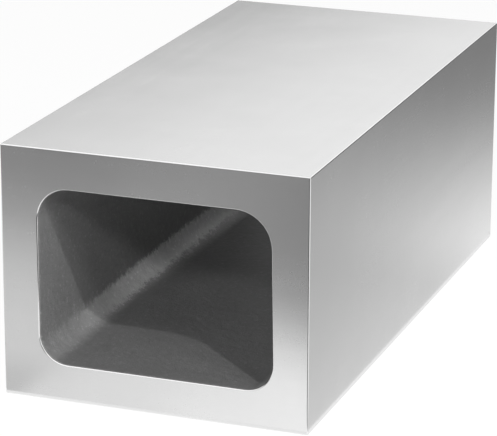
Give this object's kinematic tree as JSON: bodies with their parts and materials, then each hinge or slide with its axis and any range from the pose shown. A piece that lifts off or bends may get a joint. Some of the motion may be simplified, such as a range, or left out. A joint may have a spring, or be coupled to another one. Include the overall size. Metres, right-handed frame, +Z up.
{
  "type": "hollow fixture block",
  "caption": "Rectangular cast-iron block, ground on every outer face, with a large rounded hollow running right through its length.",
  "frame": {"origin": "middle of the base, at half length and half width", "axes": "+X across the width, +Y along the hollow and the length, +Z up from the base to the top face"},
  "size_m": [0.125, 0.26, 0.1015],
  "materials": {
    "ground_iron": "ground satin outside, left as cast in the hollow"
  },
  "bodies": {
    "root": {"hollow_block": "ground_iron"}
  },
  "joints": []
}
